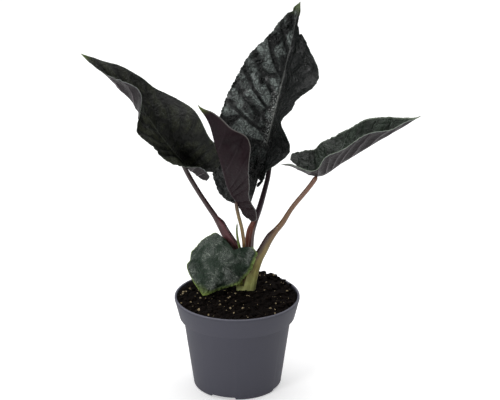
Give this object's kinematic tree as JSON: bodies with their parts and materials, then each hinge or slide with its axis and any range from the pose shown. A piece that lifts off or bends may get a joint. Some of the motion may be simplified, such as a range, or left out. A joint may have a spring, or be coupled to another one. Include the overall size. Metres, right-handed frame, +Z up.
{
  "type": "potted alocasia",
  "caption": "Young alocasia with dark arrow-shaped leaves on arching stalks, growing from soil in a tapered round nursery pot.",
  "frame": {"origin": "centre of the pot's underside, on the surface that the pot stands on", "axes": "+Z up along the pot's axis, -Y towards the side that the plant shows its best view to, +X to the right of it"},
  "size_m": [0.3123, 0.1304, 0.361],
  "materials": {
    "pot": "matt grey, moulded",
    "soil": "dark moist potting mix with pale grit",
    "leaf_blade": "waxy blackish green, grey sheen",
    "young_leaf_blade": "waxy plum grey",
    "old_leaf_blade": "waxy green, lime edge",
    "leaf_stalk": "smooth, olive pink",
    "young_shoot": "smooth yellow green",
    "stem_base": "smooth pale green, ribbed"
  },
  "bodies": {
    "root": {"pot": "pot", "soil": "soil", "leaf_blade_tall": "leaf_blade", "leaf_blade_left": "leaf_blade", "leaf_blade_young": "young_leaf_blade", "leaf_blade_right": "leaf_blade", "leaf_blade_low": "old_leaf_blade", "leaf_stalk_tall": "leaf_stalk", "leaf_stalk_left": "leaf_stalk", "leaf_stalk_young": "leaf_stalk", "leaf_stalk_right": "leaf_stalk", "leaf_stalk_low": "leaf_stalk", "young_shoot": "young_shoot", "stem_base": "stem_base"}
  },
  "joints": []
}
